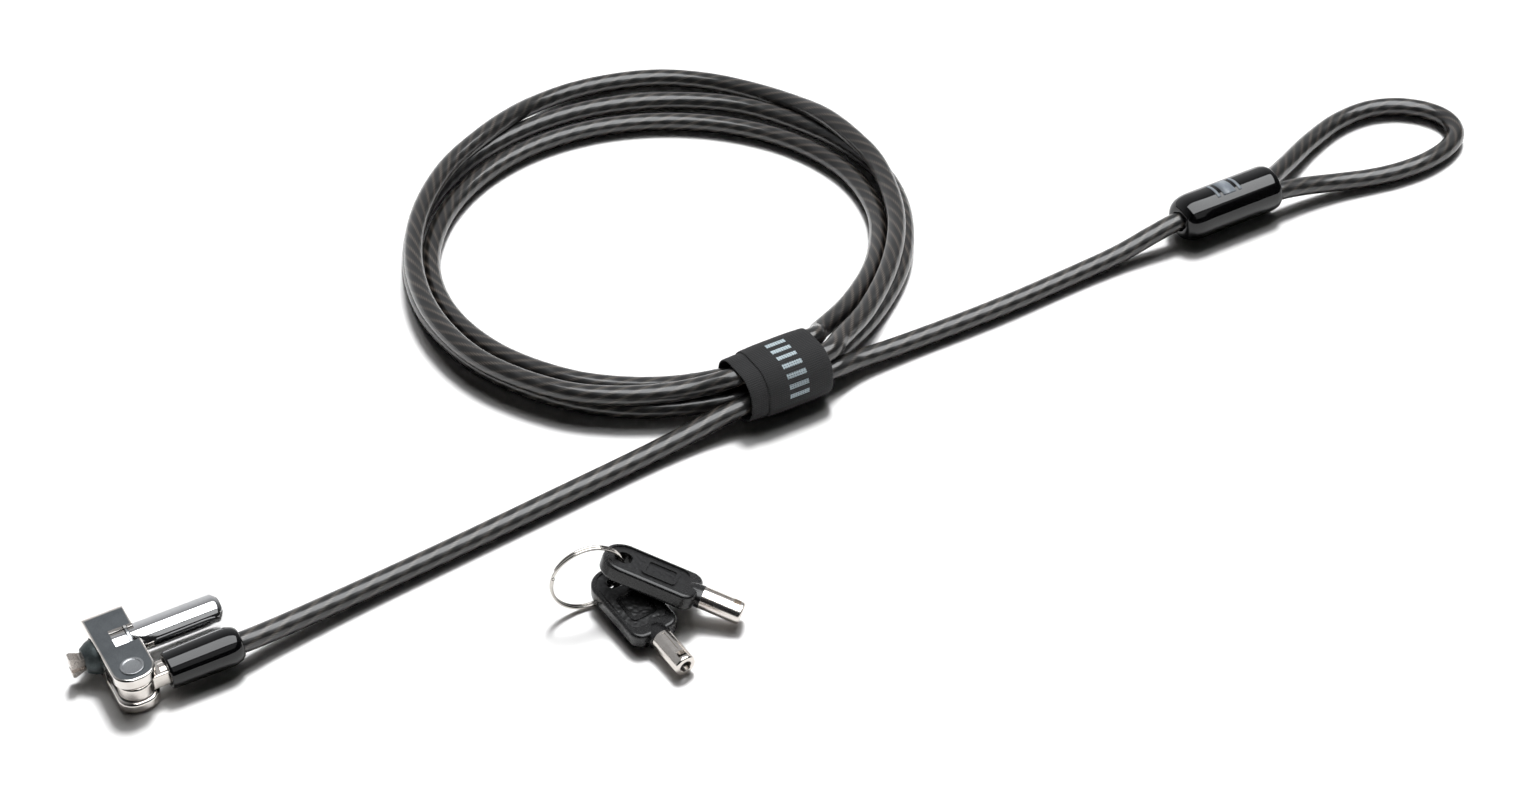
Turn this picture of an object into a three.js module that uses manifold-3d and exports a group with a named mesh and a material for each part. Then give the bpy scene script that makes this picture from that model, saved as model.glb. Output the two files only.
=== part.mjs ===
// Keyed cable lock for a laptop: a barrel lock head in a hinged yoke, a coiled steel cable with a
// loop at its far end, a hook-and-loop tie, and two tubular keys on a split ring.
// Millimetres, +Z up. The origin is on the table, under the yoke's pivot pin. +X runs from the
// lock's nose to its barrel's rear, and the cable leaves the same way.
import * as THREE from "three";
import { mergeVertices } from "three/addons/utils/BufferGeometryUtils.js";
import Module from "manifold-3d";

const wasm = await Module();
wasm.setup();

// ---- driving dimensions -------------------------------------------------------------------
const HEAD_HEIGHT = 11.4; // yoke, table to top face
const HEAD_HALF_LENGTH = 5.2; // yoke, half its length along X
const HEAD_NEAR = -4.6; // yoke's rounded fork end
const HEAD_FAR = 23; // yoke's far side
const BARREL_Y = 13.4; // barrel axis
const AXIS_Z = 5.7; // barrel axis and cable eye, above the table
const BARREL_R = 4.55;
const BARREL_REAR = 26.6;
const BORE_R = 4.75; // yoke's bore round the barrel
const PIN_R = 1.5; // pivot pin
const PIN_SEAT_Z = 1.1; // bottom of its blind hole
const CLIP_R = 4.9; // spring clip that keeps the yoke on the barrel
const CLIP_LOW = 2.9; // its groove, along X
const CLIP_HIGH = 3.7;
const EYE_R = 5.6; // cable eye
const EYE_HALF_THICKNESS = 2.1;
const CABLE_R = 2.75; // coated cable, 5.5 mm
const BOOT_FRONT = 7.7;
const BOOT_REAR = 26.5;
const TIP_X = -11.6; // anchor tip's end
const COIL_CENTRE = new THREE.Vector2(194.4, 94.9);
const COIL_R = 70.2;
const FLATTEST = 58; // degrees round the coil where the turns lie spread side by side
const TIE_X = 191; // middle of the tie, along the cable
const TIE_Y = 17.5;
const TIE_WIDTH = 20;
const TIE_SECTION = new THREE.Vector2(20, 16.6);
const TIE_THICKNESS = 0.6; // one layer
const FERRULE_FRONT = 326.9;
const FERRULE_REAR = 360.9;
const FERRULE_Y = 18.7;
const FERRULE_Z = 7;
const FERRULE_HALF = new THREE.Vector2(7.1, 6.95);
const LEG_OFFSET = 2.95; // loop legs, each side of the ferrule's middle
const KEY_THICKNESS = 4.4;
const KEY_LENGTH = 32; // eye to the tube's end
const KEY_TUBE_R = 2.9;
const PIN_COUNT = 5; // lock's spring-loaded key pins
const GAP = 0.3; // between pieces that touch

// ---- materials ----------------------------------------------------------------------------
function material(color, roughness, metalness) {
  return new THREE.MeshStandardMaterial({ color, roughness, metalness });
}
const chrome = material(0xd8d9dc, 0.08, 1);
const satinSteel = material(0x8f9396, 0.42, 1);
const darkMetal = material(0x3c4244, 0.5, 0.8);
const brass = material(0xb08d4a, 0.35, 1);
const nickel = material(0xc9c4bb, 0.2, 1);
const glossBlack = material(0x0c0c0d, 0.12, 0);
const cableBlack = material(0x1b1a19, 0.2, 0);
const tieBlack = material(0x1c1c1e, 0.95, 0);
const keyBlack = material(0x151516, 0.45, 0);

// ---- solids -------------------------------------------------------------------------------
/** Only positions, shared corners merged, collapsed triangles dropped, faces pointing out. */
function closed(geometry) {
  const bare = geometry.clone();
  bare.deleteAttribute("normal");
  bare.deleteAttribute("uv");
  const merged = mergeVertices(bare, 1e-4);
  const position = merged.getAttribute("position");
  const source = merged.index.array;
  const triangles = [];
  let volume = 0;
  const [a, b, c] = [new THREE.Vector3(), new THREE.Vector3(), new THREE.Vector3()];
  for (let i = 0; i < source.length; i += 3) {
    const [p, q, r] = [source[i], source[i + 1], source[i + 2]];
    if (p === q || q === r || r === p) continue;
    triangles.push(p, q, r);
    a.fromBufferAttribute(position, p);
    b.fromBufferAttribute(position, q);
    c.fromBufferAttribute(position, r);
    volume += a.dot(b.cross(c));
  }
  if (volume < 0) triangles.reverse();
  merged.setIndex(triangles);
  return merged;
}

function toManifold(geometry) {
  const solid = closed(geometry);
  return new wasm.Manifold(new wasm.Mesh({
    numProp: 3,
    vertProperties: new Float32Array(solid.getAttribute("position").array),
    triVerts: new Uint32Array(solid.index.array),
  }));
}

function toGeometry(manifold) {
  const mesh = manifold.getMesh();
  const geometry = new THREE.BufferGeometry();
  geometry.setAttribute("position", new THREE.BufferAttribute(new Float32Array(mesh.vertProperties), 3));
  geometry.setIndex(new THREE.BufferAttribute(new Uint32Array(mesh.triVerts), 1));
  return geometry;
}

function cut(body, ...tools) {
  return toGeometry(tools.reduce((left, tool) => left.subtract(toManifold(tool)), toManifold(body)));
}

function join(first, ...others) {
  return toGeometry(others.reduce((sum, other) => sum.add(toManifold(other)), toManifold(first)));
}

function common(first, second) {
  return toGeometry(toManifold(first).intersect(toManifold(second)));
}

/** Box between two corners. */
function box(low, high) {
  const size = high.map((value, axis) => value - low[axis]);
  const middle = high.map((value, axis) => (value + low[axis]) / 2);
  return new THREE.BoxGeometry(...size).translate(...middle);
}

/** Solid turned about the X axis. profile is a list of [x, radius]. */
function turnedX(profile, segments = 32) {
  const points = profile.map(([x, radius]) => new THREE.Vector2(radius, x));
  return new THREE.LatheGeometry(points, segments).rotateZ(-Math.PI / 2);
}

/** Solid turned about the Z axis. profile is a list of [radius, z]. */
function turnedZ(profile, segments = 32) {
  const points = profile.map(([radius, z]) => new THREE.Vector2(radius, z));
  return new THREE.LatheGeometry(points, segments).rotateX(Math.PI / 2);
}

/** Closes a ring-shaped profile on itself. */
function ring(profile) {
  return [...profile, profile[0]];
}

function prismZ(shape, low, high, curveSegments = 10) {
  const options = { depth: high - low, bevelEnabled: false, curveSegments };
  return new THREE.ExtrudeGeometry(shape, options).translate(0, 0, low);
}

/** Prism along X of a section drawn in Y and Z. */
function prismX(shape, low, high, curveSegments = 6) {
  const turn = new THREE.Matrix4().makeBasis(
    new THREE.Vector3(0, 1, 0), new THREE.Vector3(0, 0, 1), new THREE.Vector3(1, 0, 0));
  return prismZ(shape, low, high, curveSegments).applyMatrix4(turn);
}

/** Prism along Y of a section drawn in X and Z, halfWidth each side of y = 0. */
function prismY(shape, halfWidth) {
  const turn = new THREE.Matrix4().makeBasis(
    new THREE.Vector3(1, 0, 0), new THREE.Vector3(0, 0, 1), new THREE.Vector3(0, -1, 0));
  return prismZ(shape, -halfWidth, halfWidth).applyMatrix4(turn);
}

function polygon(points) {
  return new THREE.Shape(points.map(([x, y]) => new THREE.Vector2(x, y)));
}

/** Rectangle with a corner radius of its own at each end of its first axis. */
function roundedRect(low, high, lowRadius, highRadius = lowRadius) {
  const shape = new THREE.Shape();
  const quarter = Math.PI / 2;
  shape.absarc(high[0] - highRadius, high[1] - highRadius, highRadius, 0, quarter);
  shape.absarc(low[0] + lowRadius, high[1] - lowRadius, lowRadius, quarter, 2 * quarter);
  shape.absarc(low[0] + lowRadius, low[1] + lowRadius, lowRadius, 2 * quarter, 3 * quarter);
  shape.absarc(high[0] - highRadius, low[1] + highRadius, highRadius, 3 * quarter, 4 * quarter);
  shape.closePath();
  return shape;
}

/** Round tube along a smooth curve through the points. */
function tube(points, radius, sides, steps) {
  const section = [];
  for (let i = 0; i < sides; i += 1) {
    const angle = (2 * Math.PI * i) / sides;
    section.push([radius * Math.cos(angle), radius * Math.sin(angle)]);
  }
  const extrudePath = new THREE.CatmullRomCurve3(points.map((point) => new THREE.Vector3(...point)));
  return new THREE.ExtrudeGeometry(polygon(section), { extrudePath, steps, bevelEnabled: false });
}

function smooth(value, low, high) {
  return THREE.MathUtils.smoothstep(value, low, high);
}

const object = new THREE.Group();

function add(name, geometry, finish, parent = object) {
  const mesh = new THREE.Mesh(closed(geometry), finish);
  mesh.name = name;
  parent.add(mesh);
  return mesh;
}

// ---- yoke: a block round the barrel, with a fork for the cable eye --------------------------
function swivelBracket() {
  const plan = prismZ(
    roundedRect([HEAD_NEAR, -HEAD_HALF_LENGTH], [HEAD_FAR, HEAD_HALF_LENGTH], 4.5, 0.8),
    0, HEAD_HEIGHT, 6).rotateZ(Math.PI / 2).scale(-1, 1, 1);
  const profile = prismX(
    roundedRect([HEAD_NEAR - 1, 0], [HEAD_FAR, HEAD_HEIGHT], 0.8, 3.4),
    -HEAD_HALF_LENGTH - 1, HEAD_HALF_LENGTH + 1);
  const bore = turnedX([
    [-9, 0], [-9, BORE_R], [CLIP_LOW - 0.1, BORE_R], [CLIP_LOW - 0.1, CLIP_R + 0.15],
    [CLIP_HIGH + 0.1, CLIP_R + 0.15], [CLIP_HIGH + 0.1, BORE_R], [9, BORE_R], [9, 0],
  ]).translate(0, BARREL_Y, AXIS_Z);
  const window = box([-1, 8.1, AXIS_Z], [9, 14.1, HEAD_HEIGHT + 1]);
  const slot = box([-9, -9, AXIS_Z - EYE_HALF_THICKNESS - GAP], [9, 6.3, AXIS_Z + EYE_HALF_THICKNESS + GAP]);
  const pinHole = turnedZ([
    [0, PIN_SEAT_Z], [PIN_R + 0.1, PIN_SEAT_Z], [PIN_R + 0.1, HEAD_HEIGHT + 1], [0, HEAD_HEIGHT + 1],
  ], 24);
  return cut(common(plan, profile), bore, window, slot, pinHole);
}

/** A plain dished disc over the pin's hole. */
function bracketBadge() {
  const low = HEAD_HEIGHT + 0.03;
  const high = low + 0.35;
  return turnedZ([[0, low], [2.9, low], [2.8, high], [2.2, high], [2.1, low + 0.15], [0, low + 0.15]], 28);
}

function pivotPin() {
  const low = PIN_SEAT_Z + 0.15;
  const high = HEAD_HEIGHT - 0.15;
  return turnedZ([
    [0, low], [PIN_R - 0.2, low], [PIN_R, low + 0.3], [PIN_R, high - 0.2], [PIN_R - 0.2, high], [0, high],
  ], 20);
}

// ---- lock cylinder, with everything on the barrel's axis ------------------------------------
const KEYWAY_R = 2.65; // the key tube goes in here
const PIN_CIRCLE_R = 2;
const PLUG_FRONT = 7.6;
const PIN_SEAT = 14.5; // bottom of the keyway
const BARREL_BORE_R = 3.5;

function lockBarrel() {
  return turnedX(ring([
    [-3.9, BARREL_R], [CLIP_LOW, BARREL_R], [CLIP_LOW, 4.1], [CLIP_HIGH, 4.1], [CLIP_HIGH, BARREL_R],
    [BARREL_REAR - 1.6, BARREL_R], [BARREL_REAR - 0.6, 4.2], [BARREL_REAR, 3.5], [BARREL_REAR, KEYWAY_R + 0.15],
    [23.2, KEYWAY_R + 0.15], [23.2, BARREL_BORE_R], [-3.9, BARREL_BORE_R],
  ]));
}

/** Spring clip in the barrel's groove: it keeps the yoke on and lets it turn. */
function retainingClip() {
  const opening = 0.45;
  const shape = new THREE.Shape();
  shape.absarc(0, 0, CLIP_R, opening, 2 * Math.PI - opening, false);
  shape.absarc(0, 0, 4.2, 2 * Math.PI - opening, opening, true);
  shape.closePath();
  return prismX(shape, CLIP_LOW + 0.1, CLIP_HIGH - 0.1, 14).rotateX(-Math.PI / 2);
}

const BLADE_SLOT_LOW = -2.15;
const BLADE_SLOT_HIGH = -0.35;

function noseHub() {
  const hub = turnedX([[-8.2, 0], [-8.2, 3.1], [-6.6, 4.1], [-5.4, 4.45], [-4.2, 4.45], [-4.2, 3.3], [-1, 3.3], [-1, 0]]);
  const hookPocket = box([-9, -1.4, -0.34], [-5, 1.4, 2.05]);
  const bladeSlot = box([-9, -1.4, BLADE_SLOT_LOW], [0, 1.4, BLADE_SLOT_HIGH]);
  const drivePocket = turnedX([[-2.1, 0], [-2.1, 2.2], [0, 2.2], [0, 0]], 24);
  return cut(hub, hookPocket, bladeSlot, drivePocket);
}

function anchorHook() {
  return prismY(polygon([
    [-5.2, -0.25], [-5.2, 1.95], [-8.4, 1.95], [-9.2, 2.15], [TIP_X + 0.5, 3.1], [TIP_X, 2.8], [TIP_X, -0.25],
  ]), 1.3);
}

function lockingBlade() {
  return prismY(polygon([
    [-2.3, -1.35], [-2.3, -2.05], [-8.4, -2.05], [-9.2, -2.25], [TIP_X + 0.5, -3.1], [TIP_X, -2.8], [TIP_X, -1.35],
  ]), 1.3);
}

function pinPlace(index) {
  const angle = Math.PI / 2 + (2 * Math.PI * index) / PIN_COUNT;
  return [0, PIN_CIRCLE_R * Math.cos(angle), PIN_CIRCLE_R * Math.sin(angle)];
}

function lockPlug() {
  const body = turnedX([
    [PLUG_FRONT, 0], [PLUG_FRONT, 3.2], [22.9, 3.2], [22.9, KEYWAY_R], [PIN_SEAT, KEYWAY_R], [PIN_SEAT, 0],
  ]);
  const holes = [];
  for (let i = 0; i < PIN_COUNT; i += 1) {
    holes.push(turnedX([[8.6, 0], [8.6, 0.55], [16, 0.55], [16, 0]], 12).translate(...pinPlace(i)));
  }
  return cut(body, ...holes);
}

function keywayPost() {
  return turnedX([[PIN_SEAT + 0.2, 0], [PIN_SEAT + 0.2, 1.3], [22.2, 1.3], [22.5, 1], [22.5, 0]], 20);
}

function driveSpindle() {
  const shaft = turnedX([[-0.6, 0], [-0.6, 2.6], [0.5, 2.6], [0.5, 1.2], [PLUG_FRONT - GAP, 1.2], [PLUG_FRONT - GAP, 0]], 24);
  const drivePin = turnedX([[-1.8, 0], [-1.8, 0.4], [0, 0.4], [0, 0]], 12).translate(0, 0, -0.9);
  return join(shaft, drivePin);
}

function plugRetainer() {
  return turnedX(ring([[6.3, 1.4], [6.3, 3.4], [7.2, 3.4], [7.2, 1.4]]), 24);
}

function keyPin() {
  return turnedX([[12.6, 0], [12.6, 0.42], [15.5, 0.42], [15.8, 0.25], [15.8, 0]], 10);
}

/** Coil spring behind a key pin. */
function pinSpring() {
  const turns = 4;
  const perTurn = 7;
  const points = [];
  for (let i = 0; i <= turns * perTurn; i += 1) {
    const angle = (2 * Math.PI * i) / perTurn;
    const x = 8.85 + (2.2 * i) / (turns * perTurn);
    points.push([x, 0.33 * Math.cos(angle), 0.33 * Math.sin(angle)]);
  }
  return tube(points, 0.11, 4, turns * perTurn);
}

// ---- cable's lock end -----------------------------------------------------------------------
function cableEye() {
  const low = AXIS_Z - EYE_HALF_THICKNESS;
  const high = AXIS_Z + EYE_HALF_THICKNESS;
  const disc = turnedZ([[0, low], [EYE_R - 0.5, low], [EYE_R, low + 0.6], [EYE_R, high - 0.6], [EYE_R - 0.5, high], [0, high]], 36);
  const neck = box([0, -2.6, low], [9.1, 2.6, high]);
  const shank = turnedX([[6, 0], [6, 2.6], [12.2, 2.6], [12.2, 0]], 20).translate(0, 0, AXIS_Z);
  const hole = turnedZ([[0, 0], [PIN_R + 0.1, 0], [PIN_R + 0.1, HEAD_HEIGHT], [0, HEAD_HEIGHT]], 24);
  return cut(join(disc, neck, shank), hole);
}

function crimpSleeve() {
  return turnedX(ring([[9.4, 2.95], [9.4, 3.7], [21.5, 3.7], [21.5, 2.95]]), 24).translate(0, 0, AXIS_Z);
}

function cableBoot() {
  return turnedX(ring([
    [BOOT_FRONT, 4], [BOOT_FRONT, 4.4], [BOOT_FRONT + 0.4, 4.65], [22.4, 4.95], [24.6, 4.8], [26, 4.2],
    [BOOT_REAR, 3.4], [BOOT_REAR, 3.05], [22.2, 3.05], [22.2, 4],
  ]), 36).translate(0, 0, AXIS_Z);
}

// ---- cable ----------------------------------------------------------------------------------
const LEAD_ROUTE = [
  [12.6, 0, 5.7], [20, 0, 5.7], [28, -0.2, 5.6], [40, 0.9, 4.8], [57, 3.1, 3.7], [86, 6.2, 3], [116, 9.2, 3],
  [147, 12.6, 3], [160, 13.6, 3.4], [170, 13.9, 4.4], [180, 13.6, 5.4], [190, 13, 6.4],
];
const TAIL_ROUTE = [
  [190.6, 13.9, 5.7], [201, 14, 5.7], [212, 15.4, 4.4], [228, 16.3, 3.1], [262, 16.6, 2.9], [291, 17.9, 3],
  [308, 18.5, 3.9], [318, FERRULE_Y, 5.8], [326, FERRULE_Y, FERRULE_Z], [333, FERRULE_Y, FERRULE_Z],
  [340, FERRULE_Y - LEG_OFFSET, FERRULE_Z], [343, FERRULE_Y - LEG_OFFSET, FERRULE_Z],
];
const LOOP_ROUTE = [
  [341, FERRULE_Y + LEG_OFFSET, FERRULE_Z], [350, FERRULE_Y + LEG_OFFSET, FERRULE_Z],
  [359.5, FERRULE_Y + LEG_OFFSET, FERRULE_Z], [366, 23.2, 6.1], [375, 27.4, 4.7], [391, 34.8, 3.4],
  [406.4, 39.4, 2.9], [418.8, 39.6, 2.9], [428.2, 35.9, 2.9], [434, 29.2, 2.9], [435.8, 22.2, 2.9],
  [433, 15.7, 2.9], [426.4, 11.4, 2.9], [415.5, 8.9, 2.9], [403.9, 9.3, 2.9], [393.9, 11, 3],
  [383.9, 13.2, 3.7], [371.5, 15.2, 5.4], [360, FERRULE_Y - LEG_OFFSET, FERRULE_Z],
  [343.4, FERRULE_Y - LEG_OFFSET, FERRULE_Z],
];

/** Outer shape of the coiled turns: a ring, flat and wide where the turns lie spread, high by the tie. */
function cableCoil() {
  const half = 1;
  const section = [
    [-half, -0.6], [-0.6, -half], [0.6, -half], [half, -0.6], [half, 0.6], [0.6, half], [-0.6, half], [-half, 0.6],
  ].map(([across, up]) => [COIL_R + across, up]);
  const solid = turnedZ(ring(section), 72);
  const position = solid.getAttribute("position");
  for (let i = 0; i < position.count; i += 1) {
    const angle = Math.atan2(position.getY(i), position.getX(i));
    const across = Math.hypot(position.getX(i), position.getY(i)) - COIL_R;
    const up = position.getZ(i);
    const away = THREE.MathUtils.euclideanModulo(angle + Math.PI / 2, 2 * Math.PI);
    const fromTie = THREE.MathUtils.radToDeg(Math.min(away, 2 * Math.PI - away));
    const tied = 1 - smooth(fromTie, 10, 30);
    const flat = Math.exp(-(((THREE.MathUtils.radToDeg(angle) - FLATTEST) / 45) ** 2));
    const tieDistance = (COIL_CENTRE.y - 20.4) / Math.cos(THREE.MathUtils.degToRad(Math.min(fromTie, 30)));
    const middle = THREE.MathUtils.lerp(COIL_R + 1.5 * Math.cos(away) + 4.5 * flat, tieDistance, tied);
    const halfWidth = THREE.MathUtils.lerp(6.6 + 8.4 * flat, 3.9, tied);
    const low = 1.75 * (1 - smooth(fromTie, 16, 26));
    const high = THREE.MathUtils.lerp(11 - 5.2 * flat, 14.6, tied);
    const radius = middle + across * halfWidth;
    const z = THREE.MathUtils.lerp(low, high, (up + half) / (2 * half));
    position.setXYZ(i, radius * Math.cos(angle), radius * Math.sin(angle), z);
  }
  const room = CABLE_R + GAP;
  const placed = solid.translate(COIL_CENTRE.x, COIL_CENTRE.y, 0);
  return cut(placed, tube(LEAD_ROUTE, room, 10, 20), tube(TAIL_ROUTE, room, 10, 16));
}

// ---- tie, ferrule -----------------------------------------------------------------------------
/** One layer of the tie: a closed band, inset from the outside by whole layers. */
function tieLayer(inset, low, high) {
  const halfY = TIE_SECTION.x / 2;
  const band = [inset, inset + TIE_THICKNESS].map((offset) => roundedRect(
    [TIE_Y - halfY + offset, offset], [TIE_Y + halfY - offset, TIE_SECTION.y - offset], 5 - offset));
  band[0].holes.push(band[1]);
  return prismX(band[0], low, high, 6);
}

function loopFerrule() {
  const length = FERRULE_REAR - FERRULE_FRONT;
  const half = FERRULE_HALF.x;
  const body = turnedX([
    [0, 0], [0, half - 3.2], [0.9, half - 1.6], [2.6, half - 0.5], [5.2, half - 0.05], [length - 3, half],
    [length - 0.9, half - 0.3], [length, half - 1], [length, 0],
  ], 36).scale(1, 1, FERRULE_HALF.y / half);
  const chamber = prismX(roundedRect([-6.5, -3.7], [6.5, 3.7], 3.6), 7, length - 3.5);
  const socket = turnedX([[-1, 0], [-1, 3.1], [8, 3.1], [8, 0]], 24);
  const mouth = prismX(roundedRect([-6.5, -3.1], [6.5, 3.1], 3.05), length - 5, length + 1);
  return cut(body, chamber, socket, mouth).translate(FERRULE_FRONT, FERRULE_Y, FERRULE_Z);
}

function loopCrimp() {
  const shell = roundedRect([-6.35, -3.55], [6.35, 3.55], 3.5);
  shell.holes.push(roundedRect([-5.95, -3.02], [5.95, 3.02], 3));
  return prismX(shell, FERRULE_FRONT + 7.6, FERRULE_REAR - 4.1).translate(0, FERRULE_Y, FERRULE_Z);
}

// ---- keys and ring ----------------------------------------------------------------------------
/** Moulded key head in the key's own frame: eye at the origin, tube towards +X. */
function keyHead() {
  const half = KEY_THICKNESS / 2;
  const edge = 0.7;
  const options = { depth: KEY_THICKNESS - 2 * edge, bevelThickness: edge, bevelSize: edge, bevelSegments: 2, curveSegments: 8 };
  const outline = roundedRect([-5.3 + edge, -6.5 + edge], [20.2 - edge, 6.5 - edge], 5.7, 3.4);
  const slab = new THREE.ExtrudeGeometry(outline, options).translate(0, 0, edge - half);
  const collar = turnedX([[16, 0], [16, 2.4], [18, 3.3], [21, 3.3], [21, 0]], 20).scale(1, 1, 0.85);
  const eye = prismZ(roundedRect([-1.9, -2.6], [1.9, 2.6], 1.85), -half - 1, half + 1, 4);
  return cut(join(slab, collar), eye);
}

function keyTube() {
  const end = KEY_LENGTH;
  const body = turnedX([
    [21.3, 0], [21.3, KEY_TUBE_R], [end - 0.5, KEY_TUBE_R], [end, KEY_TUBE_R - 0.4], [end, 1.5], [end - 7.5, 1.5], [end - 7.5, 0],
  ], 28);
  return cut(body, box([end - 3, -1.1, 0.4], [end - 1.2, 1.1, 4]));
}

/** Two keys lying across each other, both threaded on the standing split ring. */
const KEYS = [
  { name: "key_1", eye: [116.2, -29.1, 11.6], heading: -48.4, dip: 15, roll: -17 },
  { name: "key_2", eye: [114.3, -28.5, 4.3], heading: -86.6, dip: 2.3, roll: 0 },
];
const RING_CENTRE = new THREE.Vector3(107.2, -27.55, 10.1);
const RING_R = 9.45;
const RING_HALF_WIRE = 0.55;
const RING_HEADING = -8.2; // ring's plane stands up along this heading
const KEY_SWINGS = [0, 10, 20]; // degrees, at which a key's eye is cut clear of the ring

/** Square-section ring standing on the table. */
function standingRing(halfWire) {
  const section = ring([
    [RING_R - halfWire, -halfWire], [RING_R + halfWire, -halfWire],
    [RING_R + halfWire, halfWire], [RING_R - halfWire, halfWire],
  ]);
  return turnedZ(section, 40).rotateX(Math.PI / 2).rotateZ(THREE.MathUtils.degToRad(RING_HEADING))
    .translate(...RING_CENTRE.toArray());
}

function addKeys() {
  for (const { name, eye, heading, dip, roll } of KEYS) {
    const turn = new THREE.Euler(...[roll, dip, heading].map(THREE.MathUtils.degToRad), "ZYX");
    const place = new THREE.Matrix4().makeRotationFromEuler(turn).setPosition(...eye);
    const room = KEY_SWINGS.map((angle) => standingRing(RING_HALF_WIRE + GAP)
      .translate(-eye[0], -eye[1], 0).rotateZ(THREE.MathUtils.degToRad(angle)).translate(eye[0], eye[1], 0));
    add(`${name}_head`, cut(keyHead().applyMatrix4(place), ...room), keyBlack);
    add(`${name}_tube`, keyTube().applyMatrix4(place), nickel);
  }
}

// ---- assembly ---------------------------------------------------------------------------------
add("swivel_bracket", swivelBracket(), satinSteel);
add("bracket_badge", bracketBadge(), satinSteel);
add("pivot_pin", pivotPin(), chrome);

const cylinder = new THREE.Group();
cylinder.position.set(0, BARREL_Y, AXIS_Z);
object.add(cylinder);
add("lock_barrel", lockBarrel(), chrome, cylinder);
add("retaining_clip", retainingClip(), satinSteel, cylinder);
add("nose_hub", noseHub(), darkMetal, cylinder);
add("anchor_hook", anchorHook(), nickel, cylinder);
add("locking_blade", lockingBlade(), nickel, cylinder);
add("lock_plug", lockPlug(), brass, cylinder);
add("keyway_post", keywayPost(), nickel, cylinder);
add("drive_spindle", driveSpindle(), brass, cylinder);
add("plug_retainer", plugRetainer(), brass, cylinder);
for (let i = 0; i < PIN_COUNT; i += 1) {
  add(`key_pin_${i + 1}`, keyPin().translate(...pinPlace(i)), nickel, cylinder);
  add(`pin_spring_${i + 1}`, pinSpring().translate(...pinPlace(i)), nickel, cylinder);
}

add("cable_eye", cableEye(), chrome);
add("crimp_sleeve", crimpSleeve(), satinSteel);
add("cable_boot", cableBoot(), glossBlack);
add("cable_lead", tube(LEAD_ROUTE, CABLE_R, 10, 20), cableBlack);
add("cable_coil", cableCoil(), cableBlack);
add("cable_tail", tube(TAIL_ROUTE, CABLE_R, 10, 16), cableBlack);
add("cable_loop", tube(LOOP_ROUTE, CABLE_R, 10, 40), cableBlack);
add("loop_ferrule", loopFerrule(), glossBlack);
add("loop_crimp", loopCrimp(), satinSteel);
add("strap_outer", tieLayer(0, TIE_X - TIE_WIDTH / 2, TIE_X + TIE_WIDTH / 2), tieBlack);
add("strap_inner", tieLayer(TIE_THICKNESS + 0.05, TIE_X - 15.2, TIE_X + 6), tieBlack);

addKeys();
add("split_ring", standingRing(RING_HALF_WIRE), nickel);

export default object;
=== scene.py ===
import math

import bmesh
import bpy
import numpy as np
from mathutils import Matrix, Vector


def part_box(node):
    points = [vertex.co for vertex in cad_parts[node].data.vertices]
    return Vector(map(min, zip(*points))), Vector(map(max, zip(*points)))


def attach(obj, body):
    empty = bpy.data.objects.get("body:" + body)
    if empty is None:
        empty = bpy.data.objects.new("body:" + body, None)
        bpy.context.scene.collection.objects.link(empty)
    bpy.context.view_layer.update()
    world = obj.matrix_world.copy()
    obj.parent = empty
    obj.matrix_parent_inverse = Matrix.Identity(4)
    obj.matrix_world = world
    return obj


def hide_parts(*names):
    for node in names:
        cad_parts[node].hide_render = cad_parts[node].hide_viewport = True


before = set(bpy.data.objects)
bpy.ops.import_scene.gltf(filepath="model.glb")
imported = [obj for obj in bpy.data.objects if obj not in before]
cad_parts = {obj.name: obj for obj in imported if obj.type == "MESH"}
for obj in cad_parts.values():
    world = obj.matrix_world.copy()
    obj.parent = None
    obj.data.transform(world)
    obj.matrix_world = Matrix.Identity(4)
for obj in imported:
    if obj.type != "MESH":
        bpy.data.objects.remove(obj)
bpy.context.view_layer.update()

MM = 0.001
CABLE_R = 2.75 * MM
X, Y, Z = Vector((1, 0, 0)), Vector((0, 1, 0)), Vector((0, 0, 1))


# ---- camera ---------------------------------------------------------------------------------
def make_camera():
    data = bpy.data.cameras.new("camera")
    data.lens, data.sensor_width = 60.4, 36
    data.clip_start, data.clip_end = 0.01, 50
    camera = bpy.data.objects.new("camera", data)
    bpy.context.collection.objects.link(camera)
    camera.location = (-0.0905, -0.4424, 0.4515)
    towards = Vector((0.1866, 0.0188, 0)) - camera.location
    camera.rotation_euler = towards.to_track_quat("-Z", "Y").to_euler()
    bpy.context.scene.camera = camera


make_camera()


# ---- mesh helpers ---------------------------------------------------------------------------
def smoothstep(value, low, high):
    t = min(max((value - low) / (high - low), 0), 1)
    return t * t * (3 - 2 * t)


def add_object(name, mesh, material, body, *replaced, slot=None):
    mesh.name = name
    obj = bpy.data.objects.new(name, mesh)
    bpy.context.collection.objects.link(obj)
    mesh.materials.clear()
    mesh.materials.append(material)
    if body:
        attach(obj, body)
    if replaced:
        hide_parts(*replaced)
    return obj


def mesh_of(points, faces):
    mesh = bpy.data.meshes.new("mesh")
    mesh.from_pydata([tuple(p) for p in points], [], faces)
    mesh.polygons.foreach_set("use_smooth", [True] * len(mesh.polygons))
    mesh.update()
    return mesh


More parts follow.
